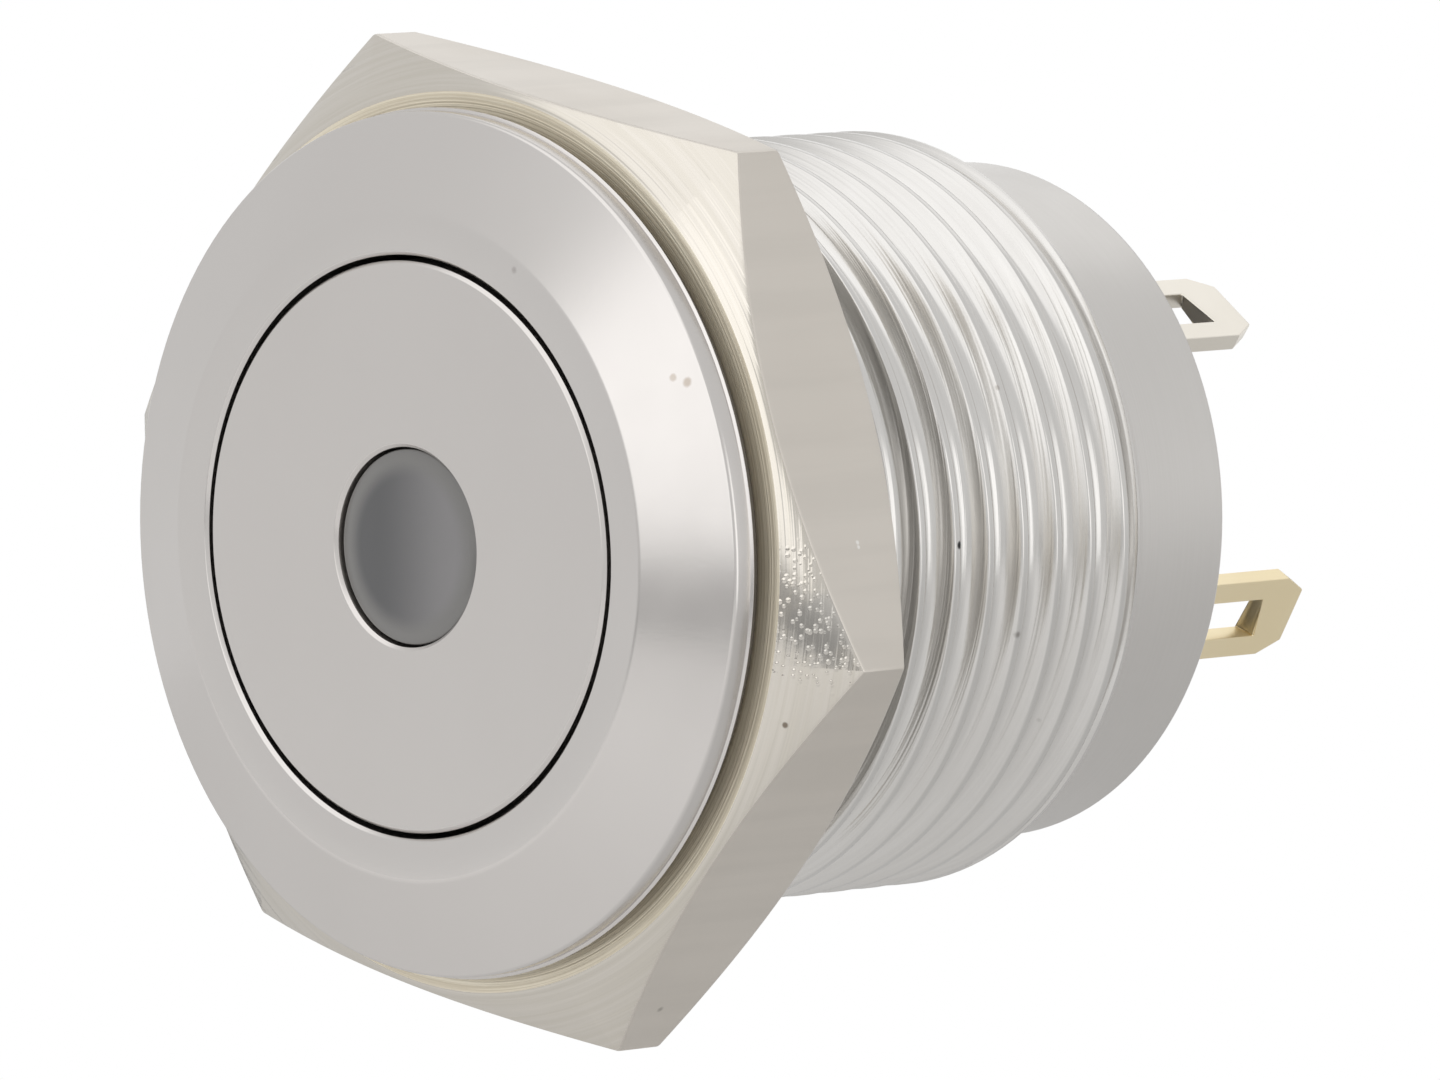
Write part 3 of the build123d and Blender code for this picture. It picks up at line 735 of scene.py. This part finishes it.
def makeButton(sizes):
    edge, turn, corner = sizes["edge"], sizes["edgeRounding"], sizes["flangeRounding"]
    return turnedPiece("buttonCap", [
        (sizes["dotRadius"], sizes["faceY"] + edge, 0), (sizes["dotRadius"] + edge, sizes["faceY"], turn),
        (sizes["radius"] - edge, sizes["faceY"], turn), (sizes["radius"], sizes["faceY"] + edge, 0),
        (sizes["radius"], sizes["grooveFront"], 0), (sizes["grooveRadius"], sizes["grooveFront"], 0),
        (sizes["grooveRadius"], sizes["grooveRear"], 0), (sizes["radius"], sizes["grooveRear"], 0),
        (sizes["radius"], sizes["flangeFront"], 0), (sizes["flangeRadius"], sizes["flangeFront"], corner),
        (sizes["flangeRadius"], sizes["flangeRear"], corner), (sizes["skirtInner"], sizes["flangeRear"], 0),
        (sizes["skirtInner"], sizes["faceRear"], 0), (sizes["dotRadius"], sizes["faceRear"], 0),
    ], [finishes["satinButton"]])


dotSizes = {
    "radius": 2.02, "frontY": -1.05, "edge": 0.04, "dome": 0.09, "domeSteps": 8, "flangeFront": 0.0,
    "flangeRear": 0.8, "flangeRadius": 3.0, "stemRadius": 1.7, "stemRear": 3.6, "rounding": 0.05, "steps": 96,
}


def makeDot(sizes):
    corner = sizes["rounding"]
    dome = []
    for step in range(sizes["domeSteps"]):
        share = step / sizes["domeSteps"]
        dome.append((sizes["radius"] * share, sizes["frontY"] - sizes["dome"] * (1 - share ** 2), 0))
    return turnedPiece("dotLens", dome + [
        (sizes["radius"], sizes["frontY"], sizes["edge"]),
        (sizes["radius"], sizes["flangeFront"], 0), (sizes["flangeRadius"], sizes["flangeFront"], corner),
        (sizes["flangeRadius"], sizes["flangeRear"], corner), (sizes["stemRadius"], sizes["flangeRear"], 0),
        (sizes["stemRadius"], sizes["stemRear"], corner), (0, sizes["stemRear"], 0),
    ], [finishes["smokedLens"]], steps=sizes["steps"])


placePiece(makeButton(buttonSizes), "button", "satin_nickel", "button_cap")
placePiece(makeDot(dotSizes), "button", "smoke_lens", "dot_lens")


# Solder lugs

lugSizes = {
    "width": 1.96, "thick": 0.4, "outerFace": 5.0, "footEnd": 3.4, "eyeWidth": 0.94, "eyeLength": 2.4,
    "eyeCorner": 0.12, "endWall": 1.04, "tipWidth": 0.33, "tipLength": 0.6, "edge": 0.05,
}
lugKinds = {
    "switchLug": {"innerEnd": 8.6, "outerEnd": 20.8, "hasFoot": True, "finish": "giltLug"},
    "lampLug": {"innerEnd": 10.6, "outerEnd": 20.4, "hasFoot": False, "finish": "paleGilt"},
}
# each place is (node, kind, angle round the Y axis in degrees, from +X toward +Z)
lugPlaces = {
    "lugCommon": ("terminal_common", "switchLug", -30.7),
    "lugNormallyOpen": ("terminal_normally_open", "switchLug", 149.3),
    "lugLampPlus": ("terminal_lamp_plus", "lampLug", 54.0),
    "lugLampMinus": ("terminal_lamp_minus", "lampLug", 234.0),
}


def makeLug(name, angle, kind, sizes):
    # drawn flat first: X across the lug, Y along it, Z outward, with the outer face at Z = 0
    bm = bmesh.new()
    half, thick = sizes["width"] / 2, sizes["thick"]
    innerEnd, outerEnd = kind["innerEnd"], kind["outerEnd"]
    bmesh.ops.create_grid(bm, x_segments=1, y_segments=1, size=0.5)
    bmesh.ops.scale(bm, verts=bm.verts, vec=(sizes["width"] * mm, (outerEnd - innerEnd) * mm, 1))
    bmesh.ops.translate(bm, verts=bm.verts, vec=(0, (outerEnd + innerEnd) / 2 * mm, 0))
    for side in (-1, 1):
        cutAcross(bm, (side * half, outerEnd - sizes["tipLength"], 0),
                  (side * sizes["tipLength"], sizes["tipWidth"], 0), clear=True)
    eyeRear = outerEnd - sizes["endWall"]
    eyeFront = eyeRear - sizes["eyeLength"]
    for side in (-1, 1):
        cutAcross(bm, (side * sizes["eyeWidth"] / 2, 0, 0), (1, 0, 0))
    for place in (eyeFront, eyeRear, innerEnd + thick):
        cutAcross(bm, (0, place, 0), (0, 1, 0))
    inEye = [face for face in bm.faces if abs(face.calc_center_median().x) < sizes["eyeWidth"] / 4 * mm
             and eyeFront * mm < face.calc_center_median().y < eyeRear * mm]
    bmesh.ops.delete(bm, geom=inEye, context="FACES")
    raised = bmesh.ops.extrude_face_region(bm, geom=bm.faces[:])
    bmesh.ops.translate(bm, verts=pickKind(raised["geom"], bmesh.types.BMVert), vec=(0, 0, -thick * mm))
    bmesh.ops.recalc_face_normals(bm, faces=bm.faces)
    if kind["hasFoot"]:
        inner = [face for face in bm.faces if face.normal.z < -0.9
                 and face.calc_center_median().y < (innerEnd + thick) * mm]
        foot = bmesh.ops.extrude_face_region(bm, geom=inner)
        bmesh.ops.delete(bm, geom=inner, context="FACES_ONLY")
        bmesh.ops.translate(bm, verts=pickKind(foot["geom"], bmesh.types.BMVert),
                            vec=(0, 0, -(sizes["outerFace"] - thick - sizes["footEnd"]) * mm))
    bmesh.ops.dissolve_limit(bm, angle_limit=math.radians(1), verts=bm.verts, edges=bm.edges)
    eyeCorners = [edge for edge in bm.edges
                  if all(abs(abs(v.co.x) / mm - sizes["eyeWidth"] / 2) < 0.01 for v in edge.verts)
                  and abs(edge.verts[0].co.y - edge.verts[1].co.y) < 0.001 * mm]
    bmesh.ops.bevel(bm, geom=eyeCorners, affect="EDGES", offset=sizes["eyeCorner"] * mm, offset_type="OFFSET",
                    segments=4, profile=0.5, material=-1)
    crisp = [edge for edge in bm.edges if edge.is_manifold and edge.calc_face_angle() > math.radians(30)]
    bmesh.ops.bevel(bm, geom=crisp, affect="EDGES", offset=sizes["edge"] * mm, offset_type="OFFSET",
                    segments=2, profile=0.5, material=-1, clamp_overlap=True)
    turn = math.radians(angle)
    across = Vector((-math.sin(turn), 0, math.cos(turn)))
    outward = Vector((math.cos(turn), 0, math.sin(turn)))
    placed = Matrix((across, Vector((0, 1, 0)), outward)).transposed().to_4x4()
    bmesh.ops.transform(bm, matrix=placed, verts=bm.verts)
    bmesh.ops.translate(bm, verts=bm.verts, vec=outward * sizes["outerFace"] * mm)
    return finishMesh(name, bm, [finishes[kind["finish"]]])


for lugName, (node, kindName, lugAngle) in lugPlaces.items():
    lug = makeLug(lugName, lugAngle, lugKinds[kindName], lugSizes)
    placePiece(lug, "housing", "gilt_brass", node)


# Coil springs

# carriedAt is the end that moves with the body, and shortening is how much a full press takes off
springSizes = {
    "returnSpring": {"node": "return_spring", "body": "button", "carriedAt": 4.15, "shortening": 1.5,
                     "wire": 0.45, "radius": 5.75, "front": 4.15, "rear": 9.0, "turns": 4.5, "turnSteps": 40,
                     "wireSides": 12},
    "contactSpring": {"node": "contact_spring", "body": "bridge", "carriedAt": 6.65, "shortening": 0.525,
                      "wire": 0.3, "radius": 2.85, "front": 3.0, "rear": 6.65, "turns": 5.0, "turnSteps": 32,
                      "wireSides": 12},
}


def makeSpring(name, sizes):
    bm = bmesh.new()
    half = sizes["wire"] / 2
    height = sizes["rear"] - sizes["front"] - sizes["wire"]
    bmesh.ops.create_circle(bm, cap_ends=False, segments=sizes["wireSides"], radius=half * mm)
    bmesh.ops.translate(bm, verts=bm.verts, vec=(sizes["radius"] * mm, (sizes["front"] + half) * mm, 0))
    steps = round(sizes["turns"] * sizes["turnSteps"])
    bmesh.ops.spin(bm, geom=bm.verts[:] + bm.edges[:], cent=(0, 0, 0), axis=(0, 1, 0),
                   dvec=(0, height * mm / steps, 0), angle=math.tau * sizes["turns"], steps=steps,
                   use_merge=False)
    bmesh.ops.holes_fill(bm, edges=[edge for edge in bm.edges if edge.is_boundary], sides=0)
    return finishMesh(name, bm, [finishes["springSteel"]], sharpAngle=60)


for springName, springLook in springSizes.items():
    spring = makeSpring(springName, springLook)
    placePiece(spring, springLook["body"], "spring_steel", springLook["node"])
    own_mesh(spring)


# Inner parts keep their solids, with their own finishes

innerFinishes = {
    "contact_base": "blackMoulding", "plunger": "blackMoulding", "bridge_retainer": "blackMoulding",
    "epoxy_seal": "pottingResin", "button_seal": "taupeRubber", "contact_bridge": "springBronze",
    "moving_contact_common": "contactSilver", "moving_contact_open": "contactSilver",
    "fixed_contact_common": "contactSilver", "fixed_contact_open": "contactSilver",
    "led": "lampResin",
    "led_anode_lead": "tinnedLead", "led_cathode_lead": "tinnedLead", "series_resistor": "resistorLacquer",
}
for node, finish in innerFinishes.items():
    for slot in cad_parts[node].material_slots:
        slot.material = finishes[finish]
print("inner parts finished:", len(innerFinishes))


# Floor, light and camera

stageValues = {
    "floorZ": -30.0, "floorRadius": 140.0, "floorRoughness": 0.9,
    # the floor's rear and front colours are a painted shade and a painted light
    "rearPaintedShade": (0.485, 0.482, 0.479), "frontPaintedLight": (0.9, 0.895, 0.89),
    "rearY": 50.0, "frontY": -75.0, "whiteStrength": 1.12, "whiteToCamera": 0.8, "whiteToMetal": 0.18,
}
skyValues = {
    "lowLeft": 0.7, "lowRight": 0.55, "lowFront": 0.22, "high": 0.68, "horizonFrom": -0.1, "horizonTo": -0.06,
    "leftEnd": -0.65, "rightEnd": -0.3, "sideEnd": -0.8, "frontEnd": -0.92, "whiteToMetal": 0.2,
    "backdropLevel": 1.0, "backdropTo": (-0.55, 0.83, -0.06), "backdropInner": 0.93, "backdropOuter": 0.82,
    "shadeLevel": 0.1, "shadeTo": (-0.44, 0.88, 0.2), "shadeInner": 0.988, "shadeOuter": 0.965,
    "glowTo": (0.05, -0.95, 0.3), "glowOuter": 0.85, "glowInner": 0.975, "glowLevel": 1.18,
    "ceilingTo": (-0.03, -0.5, 0.86), "ceilingOuter": 0.77, "ceilingInner": 0.9, "ceilingLevel": 1.29,
}
lampValues = {
    "frontPanel": {"from": (0.06, -0.93, 0.25), "distance": 700, "width": 530, "height": 450, "glow": 0.2},
    "rearPanel": {"from": (-0.34, 0.66, 0.68), "distance": 700, "width": 560, "height": 400, "glow": 0.22},
    "sidePanel": {"from": (0.98, 0.15, -0.05), "distance": 700, "width": 460, "height": 620, "glow": 0.5},
}
cameraValues = {
    "azimuth": 45.498, "elevation": 4.822, "roll": -0.1796, "distance": 300.0,
    "lens": 365.04, "sensor": 36.0, "aimRight": 6.476, "aimUp": 0.153, "headFront": -1.2,
}


def whiteShare(tree, toCamera, toMetal):
    # how far the plain white background replaces the shaded one, by what looks at it
    rays = tree.nodes.new("ShaderNodeLightPath")
    metal = addMath(tree, "MAXIMUM", rays.outputs["Is Glossy Ray"], rays.outputs["Is Transmission Ray"])
    return addMath(tree, "MAXIMUM", addMath(tree, "MULTIPLY", rays.outputs["Is Camera Ray"], toCamera),
                   addMath(tree, "MULTIPLY", metal, toMetal))


def makeStage(values):
    bm = bmesh.new()
    bmesh.ops.create_circle(bm, cap_ends=True, segments=64, radius=values["floorRadius"] * mm)
    bmesh.ops.translate(bm, verts=bm.verts, vec=(0, 0, values["floorZ"] * mm))
    mesh = bpy.data.meshes.new("floor")
    bm.to_mesh(mesh)
    bm.free()
    floor = bpy.data.objects.new("floor", mesh)
    bpy.context.scene.collection.objects.link(floor)
    material, tree, shader = startMaterial("paleFloor")
    # painted light and shade on the floor: darker to the rear, lighter to the front, where the front panel
    # lights it more
    paintedLightShare = addRange(tree, splitPlace(tree)["Y"], values["rearY"] * mm, values["frontY"] * mm)
    tree.links.new(mixColours(tree, paintedLightShare, values["rearPaintedShade"], values["frontPaintedLight"]),
                   shader.inputs["Base Color"])
    shader.inputs["Roughness"].default_value = values["floorRoughness"]
    glow = tree.nodes.new("ShaderNodeEmission")
    glow.inputs["Strength"].default_value = values["whiteStrength"]
    mixed = tree.nodes.new("ShaderNodeMixShader")
    tree.links.new(whiteShare(tree, values["whiteToCamera"], values["whiteToMetal"]), mixed.inputs[0])
    tree.links.new(shader.outputs[0], mixed.inputs[1])
    tree.links.new(glow.outputs[0], mixed.inputs[2])
    tree.links.new(mixed.outputs[0], tree.nodes["Material Output"].inputs["Surface"])
    floor.data.materials.append(material)


def nearness(tree, direction, target):
    # 1 straight toward the target, and less the further the direction turns away from it
    node = tree.nodes.new("ShaderNodeVectorMath")
    node.operation = "DOT_PRODUCT"
    tree.links.new(direction, node.inputs[0])
    node.inputs[1].default_value = Vector(target).normalized()
    return node.outputs["Value"]


def makeSky(values):
    world = bpy.data.worlds.new("studio")
    bpy.context.scene.world = world
    world.use_nodes = True
    tree = world.node_tree
    background = tree.nodes["Background"]
    split = tree.nodes.new("ShaderNodeSeparateXYZ")
    direction = tree.nodes.new("ShaderNodeTexCoord").outputs["Generated"]
    tree.links.new(direction, split.inputs[0])
    low = addRange(tree, split.outputs["X"], values["leftEnd"], values["rightEnd"], values["lowLeft"],
                   values["lowRight"])
    low = addRange(tree, split.outputs["Y"], values["sideEnd"], values["frontEnd"], low, values["lowFront"])
    glow = addRange(tree, nearness(tree, direction, values["glowTo"]), values["glowOuter"],
                    values["glowInner"], values["high"], values["glowLevel"])
    ceiling = addRange(tree, nearness(tree, direction, values["ceilingTo"]), values["ceilingOuter"],
                       values["ceilingInner"], values["high"], values["ceilingLevel"])
    high = addMath(tree, "MAXIMUM", glow, ceiling)
    level = addRange(tree, split.outputs["Z"], values["horizonFrom"], values["horizonTo"], low, high)
    level = addRange(tree, nearness(tree, direction, values["backdropTo"]), values["backdropOuter"],
                     values["backdropInner"], level, values["backdropLevel"])
    level = addRange(tree, nearness(tree, direction, values["shadeTo"]), values["shadeOuter"],
                     values["shadeInner"], level, values["shadeLevel"])
    tree.links.new(mixColours(tree, whiteShare(tree, 1.0, values["whiteToMetal"]), level, (1.0, 1.0, 1.0)),
                   background.inputs["Color"])
    background.inputs["Strength"].default_value = 1.0


def makeLamp(name, values):
    light = bpy.data.lights.new(name, "AREA")
    light.shape = "RECTANGLE"
    light.size = values["width"] * mm
    light.size_y = values["height"] * mm
    light.energy = values["glow"] * 4 * light.size * light.size_y
    lamp = bpy.data.objects.new(name, light)
    bpy.context.scene.collection.objects.link(lamp)
    away = Vector(values["from"]).normalized()
    lamp.location = away * values["distance"] * mm
    lamp.rotation_euler = away.to_track_quat("Z", "Y").to_euler()


def makeCamera(values):
    azimuth, elevation = math.radians(values["azimuth"]), math.radians(values["elevation"])
    back = Vector((math.sin(azimuth) * math.cos(elevation), -math.cos(azimuth) * math.cos(elevation),
                   math.sin(elevation)))
    right = Vector((math.cos(azimuth), math.sin(azimuth), 0))
    up = back.cross(right)
    turn = math.radians(values["roll"])
    right, up = right * math.cos(turn) + up * math.sin(turn), up * math.cos(turn) - right * math.sin(turn)
    place = (right * values["aimRight"] + up * values["aimUp"] + back * values["distance"]) * mm
    place.y += values["headFront"] * mm
    lens = bpy.data.cameras.new("photoCamera")
    lens.lens = values["lens"]
    lens.sensor_width = values["sensor"]
    lens.clip_start = 0.01
    lens.clip_end = 10
    camera = bpy.data.objects.new("photoCamera", lens)
    bpy.context.scene.collection.objects.link(camera)
    camera.matrix_world = Matrix.Translation(place) @ Matrix((right, up, back)).transposed().to_4x4()
    bpy.context.scene.camera = camera


makeStage(stageValues)
makeSky(skyValues)
for lampName, lampLook in lampValues.items():
    makeLamp(lampName, lampLook)
makeCamera(cameraValues)
bpy.context.scene.view_settings.view_transform = "Standard"
print("stage, light and camera ready")
